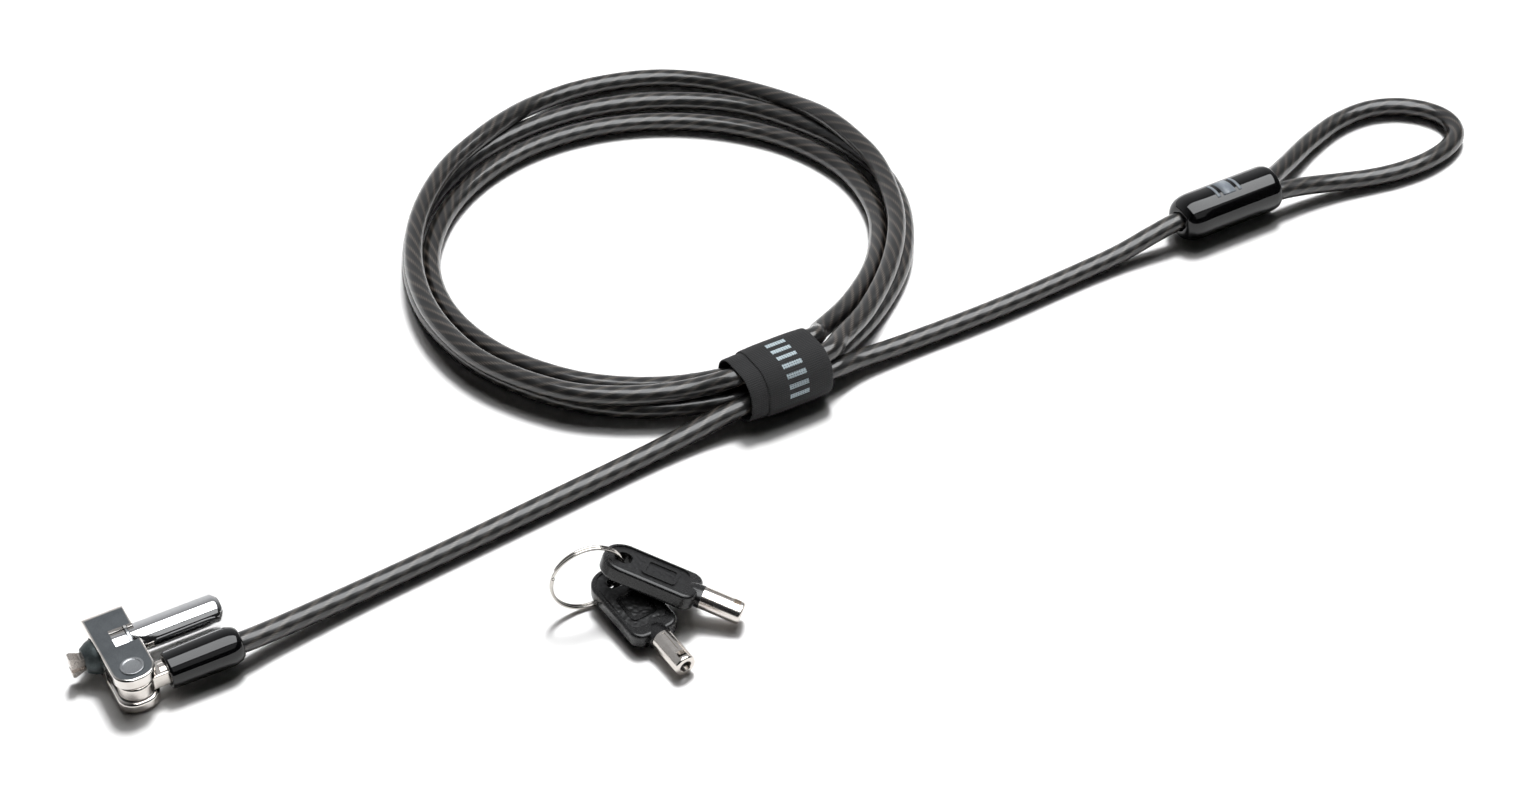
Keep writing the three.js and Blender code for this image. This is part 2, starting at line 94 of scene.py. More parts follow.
def turned(profile, place=Matrix(), segments=96, closed=False):
    """Surface turned about local X. profile is a list of [x, radius] in mm; place is in metres."""
    points, faces, rings = [], [], []
    for x, radius in profile:
        if radius < 1e-6:
            rings.append([len(points)] * segments)
            points.append(place @ (Vector((x, 0, 0)) * MM))
            continue
        rings.append(list(range(len(points), len(points) + segments)))
        for i in range(segments):
            a = 2 * math.pi * i / segments
            points.append(place @ (Vector((x, radius * math.cos(a), radius * math.sin(a))) * MM))
    pairs = list(zip(rings, rings[1:])) + ([(rings[-1], rings[0])] if closed else [])
    for first, second in pairs:
        for i in range(segments):
            j = (i + 1) % segments
            face = [first[i], second[i], second[j], first[j]]
            face = list(dict.fromkeys(face))
            if len(face) > 2:
                faces.append(face)
    return mesh_of(points, faces)


def rounded(low, high, low_radius, high_radius=None, steps=10):
    """Outline of a rectangle in mm with a corner radius of its own at each end of its first axis."""
    high_radius = low_radius if high_radius is None else high_radius
    points = []
    for cx, cy, radius, start in (
        (high[0] - high_radius, high[1] - high_radius, high_radius, 0),
        (low[0] + low_radius, high[1] - low_radius, low_radius, 1),
        (low[0] + low_radius, low[1] + low_radius, low_radius, 2),
        (high[0] - high_radius, low[1] + high_radius, high_radius, 3),
    ):
        for i in range(steps + 1):
            a = (start + i / steps) * math.pi / 2
            points.append((cx + radius * math.cos(a), cy + radius * math.sin(a)))
    return points


def prism(outline, low, high, place=Matrix()):
    """Solid of an outline in local X and Y, from low to high along local Z, in mm."""
    count = len(outline)
    points = [place @ (Vector((x, y, z)) * MM) for z in (low, high) for x, y in outline]
    faces = [list(range(count))[::-1], list(range(count, 2 * count))]
    for i in range(count):
        j = (i + 1) % count
        faces.append([i, j, count + j, count + i])
    mesh = mesh_of(points, faces)
    outward(mesh)
    return mesh


def pillow(outline, low, high, radius, place=Matrix(), steps=6):
    """Solid of an outline in local X and Y whose upper and lower edges are rounded, in mm."""
    walls = np.array(outline)
    if np.sum(walls[:, 0] * np.roll(walls[:, 1], -1) - walls[:, 1] * np.roll(walls[:, 0], -1)) < 0:
        walls = walls[::-1]
    tangents = np.roll(walls, -1, 0) - np.roll(walls, 1, 0)
    normals = np.stack([tangents[:, 1], -tangents[:, 0]], 1)
    normals /= np.linalg.norm(normals, axis=1)[:, None]
    quarter = [k / steps * math.pi / 2 for k in range(steps + 1)]
    rows = [(radius * (1 - math.sin(a)), low + radius * (1 - math.cos(a))) for a in quarter]
    rows += [(inset, high + low - z) for inset, z in reversed(rows)]
    points, faces, count = [], [], len(walls)
    for inset, z in rows:
        points += [place @ (Vector((x, y, z)) * MM) for x, y in walls - normals * inset]
    for row in range(len(rows) - 1):
        for i in range(count):
            j = (i + 1) % count
            faces.append([row * count + i, row * count + j, (row + 1) * count + j, (row + 1) * count + i])
    faces += [list(range(count))[::-1], list(range((len(rows) - 1) * count, len(rows) * count))]
    mesh = mesh_of(points, faces)
    outward(mesh)
    return mesh


def outward(mesh):
    work = bmesh.new()
    work.from_mesh(mesh)
    bmesh.ops.recalc_face_normals(work, faces=work.faces)
    work.to_mesh(mesh)
    work.free()


def applied(obj):
    """The object's mesh with its modifiers applied."""
    graph = bpy.context.evaluated_depsgraph_get()
    mesh = bpy.data.meshes.new_from_object(obj.evaluated_get(graph))
    obj.modifiers.clear()
    old = obj.data
    obj.data = mesh
    bpy.data.meshes.remove(old)
    return obj


def solid(mesh, steps=()):
    """Applies booleans to a mesh. steps is a list of (operation, mesh)."""
    for tool in (mesh, *(m for _, m in steps)):
        outward(tool)
    base = bpy.data.objects.new("solid", mesh)
    bpy.context.collection.objects.link(base)
    for operation, tool in steps:
        cutter = bpy.data.objects.new("cutter", tool)
        bpy.context.collection.objects.link(cutter)
        modifier = base.modifiers.new("step", "BOOLEAN")
        modifier.operation, modifier.object, modifier.solver = operation, cutter, "EXACT"
        bpy.context.view_layer.update()
        applied(base)
        bpy.data.objects.remove(cutter)
    result = base.data
    bpy.data.objects.remove(base)
    return result


def shaded(mesh, angle=30):
    """Smooth shading that keeps flats flat and breaks at edges sharper than the angle."""
    work = bmesh.new()
    work.from_mesh(mesh)
    bmesh.ops.remove_doubles(work, verts=work.verts, dist=2e-6)
    work.to_mesh(mesh)
    work.free()
    mesh.polygons.foreach_set("use_smooth", [True] * len(mesh.polygons))
    mesh.set_sharp_from_angle(angle=math.radians(angle))
    base = bpy.data.objects.new("soft", mesh)
    bpy.context.collection.objects.link(base)
    weighted = base.modifiers.new("weighted", "WEIGHTED_NORMAL")
    weighted.keep_sharp, weighted.weight = True, 80
    bpy.context.view_layer.update()
    applied(base)
    result = base.data
    bpy.data.objects.remove(base)
    return result


def sweep(line, radius, sides):
    """Round tube along points in metres, with u along it in metres and v round it."""
    line = [Vector(p) for p in line]
    count = len(line)
    tangents = [(line[min(i + 1, count - 1)] - line[max(i - 1, 0)]).normalized() for i in range(count)]
    side = tangents[0].cross(Z).normalized()
    points, along, length = [], [], 0
    for i, (point, tangent) in enumerate(zip(line, tangents)):
        side = (side - tangent * side.dot(tangent)).normalized()
        up = tangent.cross(side)
        if i:
            length += (point - line[i - 1]).length
        along.append(length)
        for k in range(sides):
            a = 2 * math.pi * k / sides
            points.append(point + (side * math.cos(a) + up * math.sin(a)) * radius)
    faces, uvs = [], []
    for i in range(count - 1):
        for k in range(sides):
            j = (k + 1) % sides
            faces.append([i * sides + k, i * sides + j, (i + 1) * sides + j, (i + 1) * sides + k])
            v, w = k / sides, (k + 1) / sides
            uvs += [(along[i], v), (along[i], w), (along[i + 1], w), (along[i + 1], v)]
    for start, order in ((0, -1), ((count - 1) * sides, 1)):
        faces.append(list(range(start, start + sides))[::order])
        uvs += [(along[0 if start == 0 else -1], 0)] * sides
    mesh = mesh_of(points, faces)
    layer = mesh.uv_layers.new(name="lay")
    layer.data.foreach_set("uv", [c for uv in uvs for c in uv])
    outward_if_needed(mesh)
    return mesh


def outward_if_needed(mesh):
    work = bmesh.new()
    work.from_mesh(mesh)
    if work.calc_volume(signed=True) < 0:
        bmesh.ops.reverse_faces(work, faces=work.faces)
    work.to_mesh(mesh)
    work.free()


def smooth_line(points, step):
    """Points a step apart on a smooth curve through the given ones, all in metres."""
    points = [np.array(p, float) for p in points]
    points = [2 * points[0] - points[1], *points, 2 * points[-1] - points[-2]]
    dense = []
    for a, b, c, d in zip(points, points[1:], points[2:], points[3:]):
        t0, t1 = 0, np.linalg.norm(b - a) ** 0.5
        t2 = t1 + np.linalg.norm(c - b) ** 0.5
        t3 = t2 + np.linalg.norm(d - c) ** 0.5
        for t in np.linspace(t1, t2, 16, endpoint=False):
            ab = (t1 - t) / (t1 - t0) * a + (t - t0) / (t1 - t0) * b
            bc = (t2 - t) / (t2 - t1) * b + (t - t1) / (t2 - t1) * c
            cd = (t3 - t) / (t3 - t2) * c + (t - t2) / (t3 - t2) * d
            abc = (t2 - t) / (t2 - t0) * ab + (t - t0) / (t2 - t0) * bc
            bcd = (t3 - t) / (t3 - t1) * bc + (t - t1) / (t3 - t1) * cd
            dense.append((t2 - t) / (t2 - t1) * abc + (t - t1) / (t2 - t1) * bcd)
    dense.append(points[-2])
    dense = np.array(dense)
    lengths = np.concatenate([[0], np.cumsum(np.linalg.norm(np.diff(dense, axis=0), axis=1))])
    marks = np.linspace(0, lengths[-1], max(2, round(lengths[-1] / step)) + 1)
    return np.stack([np.interp(marks, lengths, dense[:, k]) for k in range(3)], 1)


# ---- materials ------------------------------------------------------------------------------
class Nodes:
    """A material's node tree with short ways to add to it."""

    def __init__(self, name):
        self.material = bpy.data.materials.new(name)
        self.material.use_nodes = True
        self.tree = self.material.node_tree
        self.shader = self.tree.nodes["Principled BSDF"]

    def add(self, kind, inputs=None, **settings):
        node = self.tree.nodes.new(kind)
        for key, value in settings.items():
            setattr(node, key, value)
        for key, value in (inputs or {}).items():
            self.put(node.inputs[key], value)
        return node

    def put(self, socket, value):
        if isinstance(value, bpy.types.NodeSocket):
            self.tree.links.new(value, socket)
        else:
            socket.default_value = value

    def set(self, **inputs):
        for key, value in inputs.items():
            self.put(self.shader.inputs[key.replace("_", " ")], value)

    def math(self, operation, a, b=0.0, c=0.0):
        node = self.add("ShaderNodeMath", operation=operation)
        for socket, value in zip(node.inputs, (a, b, c)):
            self.put(socket, value)
        return node.outputs[0]

    def ramp(self, factor, *stops):
        node = self.add("ShaderNodeValToRGB", {0: factor})
        elements = node.color_ramp.elements
        while len(elements) < len(stops):
            elements.new(0.5)
        for element, (place, color) in zip(elements, stops):
            element.position = place
            element.color = color if hasattr(color, "__len__") else (color, color, color, 1)
        return node.outputs[0]

    def noise(self, scale, detail=2.0, vector=None):
        node = self.add("ShaderNodeTexNoise", {"Scale": scale, "Detail": detail, "Roughness": 0.5})
        self.put(node.inputs["Vector"], vector or self.place())
        return node.outputs["Fac"]

    def place(self, scale=None):
        """Object coordinates, stretched if a scale is given."""
        source = self.add("ShaderNodeTexCoord").outputs["Object"]
        if scale is None:
            return source
        return self.add("ShaderNodeMapping", {"Vector": source, "Scale": scale}).outputs[0]

    def bump(self, height, strength, distance):
        node = self.add("ShaderNodeBump", {"Height": height, "Strength": strength, "Distance": distance})
        return node.outputs[0]


def rgba(r, g, b):
    return (r, g, b, 1)


def metal(name, light, dark, roughness, spread=0.05, grain=None, bump=0.0):
    """Plated or bare metal with a slightly uneven polish and tone."""
    n = Nodes(name)
    cloud = n.noise(260, 3)
    fine = n.noise(2600, 2, n.place(grain) if grain else None)
    mixed = n.math("ADD", n.math("MULTIPLY", cloud, 0.5), n.math("MULTIPLY", fine, 0.5))
    n.set(
        Base_Color=n.ramp(mixed, (0.3, rgba(*dark)), (0.7, rgba(*light))),
        Roughness=n.math("MULTIPLY_ADD", mixed, 2 * spread, roughness - spread),
        Metallic=1.0,
    )
    if bump:
        n.set(Normal=n.bump(fine, bump, 0.00004))
    return n.material


def cable_jacket():
    """Smoky clear jacket over helically laid steel strands. u is in metres, v goes once round."""
    n = Nodes("cable_jacket")
    lay = n.add("ShaderNodeUVMap", uv_map="lay").outputs[0]
    parts = n.add("ShaderNodeSeparateXYZ", {0: lay})
    u, v = parts.outputs[0], parts.outputs[1]
    turn = n.math("ADD", n.math("MULTIPLY", u, 1 / 0.036), v)

    def wires(count, phase):
        angle = n.math("MULTIPLY", phase, 2 * math.pi * count)
        return n.math("MULTIPLY_ADD", n.math("SINE", angle), 0.5, 0.5)

    strands = wires(6, turn)
    counter = n.math("SUBTRACT", n.math("MULTIPLY", u, 1 / 0.11), v)
    threads = wires(31, counter)
    patch = n.noise(90, 2, n.place())
    seen = n.math("MULTIPLY", n.math("POWER", strands, 1.4), n.math("MULTIPLY_ADD", threads, 0.45, 0.55))
    shade = n.math("MULTIPLY", seen, n.math("MULTIPLY_ADD", patch, 0.9, 0.45))
    n.set(
        Base_Color=n.ramp(
            shade, (0.0, rgba(0.0008, 0.0006, 0.0005)), (0.35, rgba(0.006, 0.0046, 0.0035)),
            (0.9, rgba(0.075, 0.062, 0.052))),
        Roughness=0.4,
        Coat_Weight=0.75,
        Coat_Roughness=0.08,
    )
    n.set(Normal=n.bump(strands, 0.3, 0.0002))
    n.put(n.shader.inputs["Coat Normal"], n.bump(strands, 0.03, 0.0001))
    return n.material


def gloss_black():
    n = Nodes("gloss_black")
    cloud = n.noise(120, 4)
    n.set(
        Base_Color=n.ramp(cloud, (0.3, rgba(0.0015, 0.0015, 0.0018)), (0.8, rgba(0.004, 0.004, 0.0045))),
        Roughness=n.math("MULTIPLY_ADD", cloud, 0.05, 0.04),
        Normal=n.bump(n.noise(160, 2), 0.05, 0.0001),
    )
    return n.material


def yoke_metal():
    """Satin-rough flat top, polished elsewhere; the flat top's darker colour is painted shade."""
    n = Nodes("yoke_metal")
    up = n.add("ShaderNodeSeparateXYZ", {0: n.add("ShaderNodeTexCoord").outputs["Normal"]}).outputs[2]
    flat = n.ramp(up, (0.965, 0.0), (0.99, 1.0))
    speck = n.noise(5200, 3)
    cloud = n.noise(300, 2)
    # Painted shade: the upward flats get a far darker metal colour than the polished rest. Their extra
    # roughness is the real finish.
    painted_shade_top_tone = n.ramp(
        n.math("MULTIPLY_ADD", cloud, 0.4, n.math("MULTIPLY", speck, 0.6)),
        (0.3, rgba(0.12, 0.13, 0.138)), (0.75, rgba(0.21, 0.225, 0.235)))
    bright = n.ramp(cloud, (0.3, rgba(0.62, 0.58, 0.54)), (0.7, rgba(0.74, 0.71, 0.68)))
    mix = n.add("ShaderNodeMix", {"Factor": flat}, data_type="RGBA")
    n.put(mix.inputs[6], bright)
    n.put(mix.inputs[7], painted_shade_top_tone)
    n.set(
        Base_Color=mix.outputs[2],
        Roughness=n.math("MULTIPLY_ADD", flat, 0.27, 0.11),
        Metallic=1.0,
        Normal=n.bump(n.math("MULTIPLY", speck, flat), 0.25, 0.00003),
    )
    return n.material


def hub_metal():
    n = Nodes("hub_metal")
    speck = n.noise(3000, 3)
    n.set(
        Base_Color=n.ramp(speck, (0.3, rgba(0.045, 0.056, 0.058)), (0.7, rgba(0.075, 0.088, 0.09))),
        Roughness=n.math("MULTIPLY_ADD", speck, 0.15, 0.4),
        Metallic=0.7,
        Normal=n.bump(speck, 0.2, 0.00003),
    )
    return n.material


def tie_fabric(marked):
    """Woven hook-and-loop tape. u runs round the tie and v across it, both in metres."""
    n = Nodes("tie_marked" if marked else "tie_plain")
    parts = n.add("ShaderNodeSeparateXYZ", {0: n.add("ShaderNodeUVMap", uv_map="lay").outputs[0]})
    u, v = parts.outputs[0], parts.outputs[1]
    wobble = n.math("MULTIPLY", n.noise(700, 2), 1.4)
    warp = n.math("SINE", n.math("ADD", n.math("MULTIPLY", v, 2 * math.pi / 0.00075), wobble))
    weft = n.math("SINE", n.math("ADD", n.math("MULTIPLY", u, 2 * math.pi / 0.00062), wobble))
    crossed = n.math("MULTIPLY", warp, weft)
    woven = n.math("MULTIPLY_ADD", crossed, 0.35, n.math("MULTIPLY_ADD", weft, 0.3, 0.5))
    fuzz = n.noise(4200, 3)
    height = n.math("MULTIPLY_ADD", fuzz, 0.35, n.math("MULTIPLY", woven, 0.65))
    cloth = n.ramp(height, (0.15, rgba(0.003, 0.003, 0.0035)), (0.85, rgba(0.021, 0.021, 0.022)))
    color = cloth
    if marked:
        def between(value, low, high):
            return n.math("MULTIPLY", n.math("GREATER_THAN", value, low), n.math("LESS_THAN", value, high))

        beat = n.math("MODULO", n.math("SUBTRACT", u, MARK_START), BAR_PITCH)
        bars = n.math("LESS_THAN", beat, BAR_WIDTH)
        stripes = n.math("MULTIPLY", bars, between(v, BAR_LOW, BAR_HIGH))
        inside = between(u, MARK_START, MARK_END)
        worn_height = n.math("MULTIPLY_ADD", fuzz, 0.5, n.math("MULTIPLY", woven, 0.5))
        worn = n.ramp(worn_height, (0.28, 0.15), (0.42, 1.0))
        factor = n.math("MULTIPLY", n.math("MULTIPLY", stripes, inside), worn)
        mix = n.add("ShaderNodeMix", {"Factor": factor}, data_type="RGBA")
        n.put(mix.inputs[6], cloth)
        mix.inputs[7].default_value = rgba(0.42, 0.5, 0.54)
        color = mix.outputs[2]
    n.set(
        Base_Color=color, Roughness=0.9, Sheen_Weight=0.05, Sheen_Roughness=0.5,
        Normal=n.bump(height, 0.8, 0.0002))
    return n.material


def key_plastic(pebbled):
    n = Nodes("key_panel" if pebbled else "key_border")
    speck = n.noise(1800, 3)
    n.set(
        Base_Color=n.ramp(speck, (0.3, rgba(0.004, 0.004, 0.0043)), (0.7, rgba(0.009, 0.009, 0.0095))),
        Roughness=n.math("MULTIPLY_ADD", speck, 0.06, 0.4 if pebbled else 0.24),
    )
    if pebbled:
        cells = n.add("ShaderNodeTexVoronoi", {"Vector": n.place(), "Scale": 900.0}, feature="SMOOTH_F1")
        n.set(Normal=n.bump(cells.outputs["Distance"], 0.9, 0.00025))
    else:
        n.set(Normal=n.bump(n.noise(160, 2), 0.04, 0.00005))
    return n.material


def pale_print():
    n = Nodes("pale_print")
    speck = n.noise(3000, 2)
    n.set(
        Base_Color=n.ramp(speck, (0.3, rgba(0.16, 0.18, 0.21)), (0.7, rgba(0.22, 0.25, 0.28))),
        Roughness=n.math("MULTIPLY_ADD", speck, 0.1, 0.3))
    return n.material


# The pale bars on the tie's outer layer: where the row starts and ends round the tie, their pitch
# and width along it, and how far they reach across it.
MARK_START, MARK_END = 0.0105, 0.0314
BAR_PITCH, BAR_WIDTH = 0.003, 0.0014
BAR_LOW, BAR_HIGH = 0.0062, 0.0122

chrome = metal("chrome", (0.80, 0.80, 0.80), (0.72, 0.72, 0.725), 0.07, 0.02)
nickel = metal("nickel", (0.74, 0.70, 0.66), (0.60, 0.56, 0.52), 0.19, 0.05, (0.2, 1, 1), 0.15)
tip_steel = metal("tip_steel", (0.62, 0.57, 0.53), (0.46, 0.42, 0.39), 0.27, 0.06, None, 0.3)
ring_steel = metal("ring_steel", (0.66, 0.63, 0.59), (0.5, 0.47, 0.44), 0.16, 0.04)
brass = metal("brass", (0.62, 0.47, 0.22), (0.5, 0.36, 0.15), 0.28, 0.06, None, 0.2)
satin_steel = metal("satin_steel", (0.4, 0.41, 0.42), (0.3, 0.31, 0.32), 0.36, 0.06, None, 0.25)
jacket = cable_jacket()
black = gloss_black()
yoke = yoke_metal()
hub = hub_metal()
tie_marked, tie_plain = tie_fabric(True), tie_fabric(False)
key_border, key_panel = key_plastic(False), key_plastic(True)
printed = pale_print()


# ---- lock head ------------------------------------------------------------------------------
def centre(node):
    low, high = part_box(node)
    return (low + high) / 2


barrel_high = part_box("lock_barrel")[1]
yoke_low, yoke_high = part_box("swivel_bracket")
AXIS = Vector((0, centre("lock_barrel").y, centre("lock_barrel").z))
AXIS_Z = AXIS.z / MM
HEIGHT = yoke_high.z / MM
on_axis = Matrix.Translation(AXIS)
on_eye = Matrix.Translation((0, 0, AXIS.z))
# Turn a section drawn in Y and Z to run along X, and a turned profile to stand along Z.
ALONG_X = Matrix(((0, 0, 1, 0), (1, 0, 0, 0), (0, 1, 0, 0), (0, 0, 0, 1)))
ALONG_Z = Matrix(((0, 0, 1, 0), (0, 1, 0, 0), (-1, 0, 0, 0), (0, 0, 0, 1)))


SLOT_HALF = 2.4  # half the fork's slot
EYE_HALF = 2.1  # half the cable eye's thickness


def block(low, high):
    return prism(rounded(low[:2], high[:2], 0.01, steps=1), low[2], high[2])


def make_yoke():
    near, far = yoke_low.y / MM, yoke_high.y / MM
    half = yoke_high.x / MM
    plan = [(y, x) for x, y in rounded((near, -half), (far, half), 4.5, 0.9, 12)]
    upper = pillow(plan, AXIS_Z + SLOT_HALF, HEIGHT, 0.65)
    lower = pillow(plan, 0, AXIS_Z - SLOT_HALF, 0.95)
    housing = block((-half, 6.3, 1.2), (half, far, HEIGHT - 1.2))
    profile = prism(rounded((near - 2, 0.0), (far, HEIGHT), 0.8, 3.4, 14), -half - 1, half + 1, ALONG_X)
    bore = turned([(-9, 0), (-9, 4.75), (9, 4.75), (9, 0)], on_axis, 72)
    window = block((-1, 8.1, AXIS_Z), (9, 14.1, HEIGHT + 1))
    pin = turned([(-HEIGHT - 1, 0), (-HEIGHT - 1, 1.6), (-1.1, 1.6), (-1.1, 0)], ALONG_Z, 48)
    mesh = solid(upper, [
        ("UNION", housing), ("UNION", lower), ("INTERSECT", profile), ("DIFFERENCE", bore),
        ("DIFFERENCE", window), ("DIFFERENCE", pin)])
    add_object("yoke_body", shaded(mesh), yoke, "yoke", "swivel_bracket", slot="satin_steel")


def make_badge():
    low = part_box("bracket_badge")[0].z / MM
    profile = [
        (0, 0), (0, 2.78), (0.05, 2.86), (0.18, 2.88), (0.29, 2.82), (0.33, 2.72), (0.33, 2.34),
        (0.29, 2.24), (0.16, 2.16), (0.14, 2.05), (0.14, 0)]
    place = Matrix.Translation((0, 0, low * MM)) @ ALONG_Z.inverted()
    mesh = turned(profile, place, 64)
    add_object("badge_disc", mesh, satin_steel, "yoke", "bracket_badge", slot="satin_steel")


def make_barrel():
    rear = barrel_high.x / MM
    profile = [
        (-3.9, 4.3), (-3.8, 4.47), (-3.6, 4.55), (2.78, 4.55), (2.9, 4.5), (2.92, 4.1), (3.68, 4.1),
        (3.7, 4.5), (3.82, 4.55), (rear - 1.75, 4.55), (rear - 1.5, 4.52), (rear - 1.25, 4.44),
        (rear - 0.25, 3.72), (rear - 0.08, 3.56), (rear, 3.4), (rear, 3.0), (rear - 0.06, 2.88),
        (rear - 0.2, 2.8), (23.2, 2.8), (23.2, 3.5), (-3.9, 3.5)]
    mesh = turned(profile, on_axis, 128, True)
    add_object("barrel_shell", mesh, chrome, "barrel", "lock_barrel", slot="chrome")


def make_boot():
    low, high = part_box("cable_boot")
    front, rear = low.x / MM, high.x / MM
    profile = [
        (front, 4.0), (front, 4.3), (front + 0.12, 4.5), (front + 0.4, 4.62), (front + 0.8, 4.66),
        (14, 4.8), (21, 4.93), (22.6, 4.94), (23.8, 4.86), (24.8, 4.66), (25.6, 4.34), (26.15, 3.95),
        (26.42, 3.6), (rear, 3.3), (rear - 0.02, 3.1), (rear - 0.2, 3.0), (22.2, 3.0), (22.2, 4.0)]
    mesh = turned(profile, on_eye, 96, True)
    add_object("boot_sleeve", mesh, black, "cable", "cable_boot", slot="gloss_black")


def make_eye():
    bottom, top = AXIS_Z - EYE_HALF, AXIS_Z + EYE_HALF
    outer, half = 4.45, 2.6
    circle = [(outer * math.cos(a), outer * math.sin(a)) for a in np.linspace(0, 2 * math.pi, 72, False)]
    disc = pillow(circle, bottom, top, 0.9)
    neck = pillow(rounded((0, -half), (9.1, half), 1.0, 0.6, 6), bottom, top, 0.5)
    shank = turned([(6, 0), (6, 2.6), (12.2, 2.6), (12.2, 0)], on_eye, 48)
    hole = turned([(-HEIGHT, 0), (-HEIGHT, 1.6), (0, 1.6), (0, 0)], ALONG_Z, 48)
    mesh = solid(disc, [("UNION", neck), ("UNION", shank), ("DIFFERENCE", hole)])
    add_object("eye_fitting", shaded(mesh), nickel, "cable", "cable_eye", slot="chrome")


def make_tip():
    for node, edge in (("anchor_hook", 1), ("locking_blade", -1)):
        low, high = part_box(node)
        body = "barrel" if edge > 0 else "blade"
        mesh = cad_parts[node].data.copy()
        add_object(node + "_part", shaded(mesh), tip_steel, body, node, slot="nickel")
    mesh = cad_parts["nose_hub"].data.copy()
    add_object("hub_part", shaded(mesh, 40), hub, "barrel", "nose_hub", slot="dark_metal")


make_yoke()
make_badge()
make_barrel()
make_boot()
make_eye()
make_tip()


# ---- cable ----------------------------------------------------------------------------------
COIL_X, COIL_Y = 194.4, 94.9
TIE_LEFT, TIE_RIGHT = 177.5, 204.5  # where the strands gather, either side of the tie

# The three turns, as (degrees round the coil, radius, height) in degrees and millimetres. The first
# lies on top of the third at both sides and comes down outside it at the far side.
FIRST_TURN = [
    (-77, 76.2, 9.9), (-65, 72.6, 8.3), (-45, 70.1, 7.8), (-25, 70.7, 7.3), (-5, 72.9, 7.8),
    (5, 73.7, 8.2),
    (17, 75.9, 7.8), (28, 79.2, 5.3), (40, 82.9, 3.4), (50, 85.4, 2.8), (60, 86.4, 2.75), (70, 85.5, 2.75),
    (80, 83.1, 3.3), (91, 78.4, 5), (98, 74.5, 6.9), (108, 71.2, 8.1), (125, 69.7, 8.25),
    (146, 69.4, 8.25),
    (166, 71.2, 8.2), (185, 74.2, 8), (203, 77, 7.6), (222, 78.3, 7.6), (233, 77.8, 7.8), (242, 77.2, 8.4),
    (249, 77.1, 9.4),
]
SECOND_TURN = [
    (-79, 69.5, 9.2), (-64, 65.9, 6.6), (-42, 64.7, 4.2), (-20, 66, 2.9), (0, 66.2, 2.75),
    (20, 64.6, 2.75),
    (40, 62.6, 2.75), (60, 61.5, 2.75), (80, 61.4, 2.75), (100, 61.9, 2.75), (120, 62.7, 2.75),
    (140, 64.1, 2.75), (160, 65.9, 2.75), (180, 67, 2.75), (200, 67.5, 2.75), (220, 67.7, 2.75),
    (234, 68, 3.1), (246, 69.9, 4.9),
]
THIRD_TURN = [
    (-75, 74.3, 4.2), (-60, 72.1, 2.9), (-40, 72.4, 2.75), (-20, 74, 2.75), (-5, 75.3, 2.75),
    (8, 74.8, 2.75), (20, 74.4, 2.75), (40, 74.5, 2.75), (60, 73.2, 2.75), (80, 72.2, 2.75),
    (100, 71.3, 2.75), (120, 71, 2.75),
    (140, 71, 2.75), (160, 71.3, 2.75), (180, 72.9, 2.75), (200, 74.5, 2.75), (220, 76, 2.75),
    (234, 76.8, 2.75), (246, 76.9, 3.1),
]
LEAD = [
    (12.6, 0, 5.7), (20, 0, 5.7), (27, -.2, 5.6), (35, .9, 4.6), (57.4, 3.5, 3.3), (86, 6.3, 2.8),
    (116, 9.3, 2.78), (147, 12.4, 2.9), (160, 13.3, 3.8), (169, 13.5, 5.1),
]
TAIL = [
    (214, 16, 4.1), (228.4, 16.4, 3), (261.9, 16.5, 2.78), (290.8, 18, 2.78), (306, 18.5, 3.6),
    (317, 18.7, 5.6), (325, 18.7, 7), (333, 18.7, 7), (340, 15.75, 7), (343, 15.75, 7),
]
LOOP = [
    (341, 21.65, 7), (350, 21.65, 7), (358.5, 21.7, 6.95), (365, 23, 6.1), (374.3, 27.3, 4.6),
    (390.8, 34.8, 3.2), (406.4, 39.5, 2.78), (418.8, 39.7, 2.78), (428.2, 35.9, 2.78), (434.4, 29, 2.78),
    (435.9, 22.2, 2.78), (433, 15.7, 2.78), (426.4, 11.5, 2.78), (415.5, 9, 2.78), (403.9, 9.2, 2.78),
    (393.9, 11, 2.9), (383.9, 13.3, 3.7), (371.5, 15.2, 5.5), (361, 15.7, 6.9), (352, 15.75, 7),
    (343.4, 15.75, 7),
]


def tie_run(start, end):
    """A strand through the tie, from one (y, z) at its left to another at its right."""
    points = []
    for k in range(7):
        share = smoothstep(k / 6, 0, 1)
        y, z = (a + (b - a) * share for a, b in zip(start, end))
        points.append((TIE_LEFT + (TIE_RIGHT - TIE_LEFT) * k / 6, y, z))
    return points


def turn_points(keys):
    points = []
    for degrees, radius, height in keys:
        a = math.radians(degrees)
        points.append((COIL_X + radius * math.cos(a), COIL_Y + radius * math.sin(a), height))
    return points


def route():
    return (
        LEAD + tie_run((13.2, 6.2), (15.6, 11.6)) + turn_points(FIRST_TURN)
        + tie_run((18.4, 12.2), (22.8, 11.8)) + turn_points(SECOND_TURN)
        + tie_run((23, 8.8), (19.6, 5.4)) + turn_points(THIRD_TURN)
        + tie_run((19.2, 4.1), (14.3, 5.8)) + TAIL)


def metres(points):
    return [Vector(p) * MM for p in points]


def make_cable():
    line = smooth_line(metres(route()), 0.0022)
    cable = add_object(
        "cable_run", sweep(line, CABLE_R, 20), jacket, "cable", "cable_lead", "cable_coil", "cable_tail",
        slot="cable_jacket")
    start = next(i for i, p in enumerate(line) if p[0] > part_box("cable_boot")[1].x)
    return cable, line, line[start]


def make_loop():
    line = smooth_line(metres(LOOP), 0.0015)
    mesh = sweep(line, CABLE_R, 24)
    loop = add_object("cable_eyelet", mesh, jacket, "cable", "cable_loop", slot="cable_jacket")
    return loop, line


